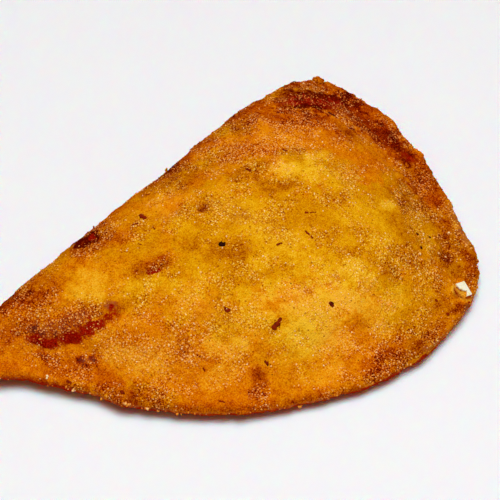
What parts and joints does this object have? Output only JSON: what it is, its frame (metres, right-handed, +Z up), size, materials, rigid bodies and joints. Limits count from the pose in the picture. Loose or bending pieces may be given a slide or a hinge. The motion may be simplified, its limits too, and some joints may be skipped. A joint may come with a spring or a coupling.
{
  "type": "chicken empanada",
  "caption": "Fried corn-dough half-moon turnover with a rounded fold, a domed filled middle, a thin pressed seal along the curve, a narrow and a blunt corner, and crumbs on the rim.",
  "frame": {"origin": "middle of the plan, on the flat spot of the underside that it rests on", "axes": "+X along the fold, from the narrow corner to the blunt one; +Y from the seal to the fold; +Z up"},
  "size_m": [0.141, 0.0842, 0.0237],
  "materials": {
    "fried_crust": "golden fried corn crust, browned in patches, slightly oily",
    "pale_dough": "unfried cream-coloured flake of dough",
    "dark_crust": "scorched flecks"
  },
  "bodies": {
    "root": {"empanada": "fried_crust"}
  },
  "joints": []
}
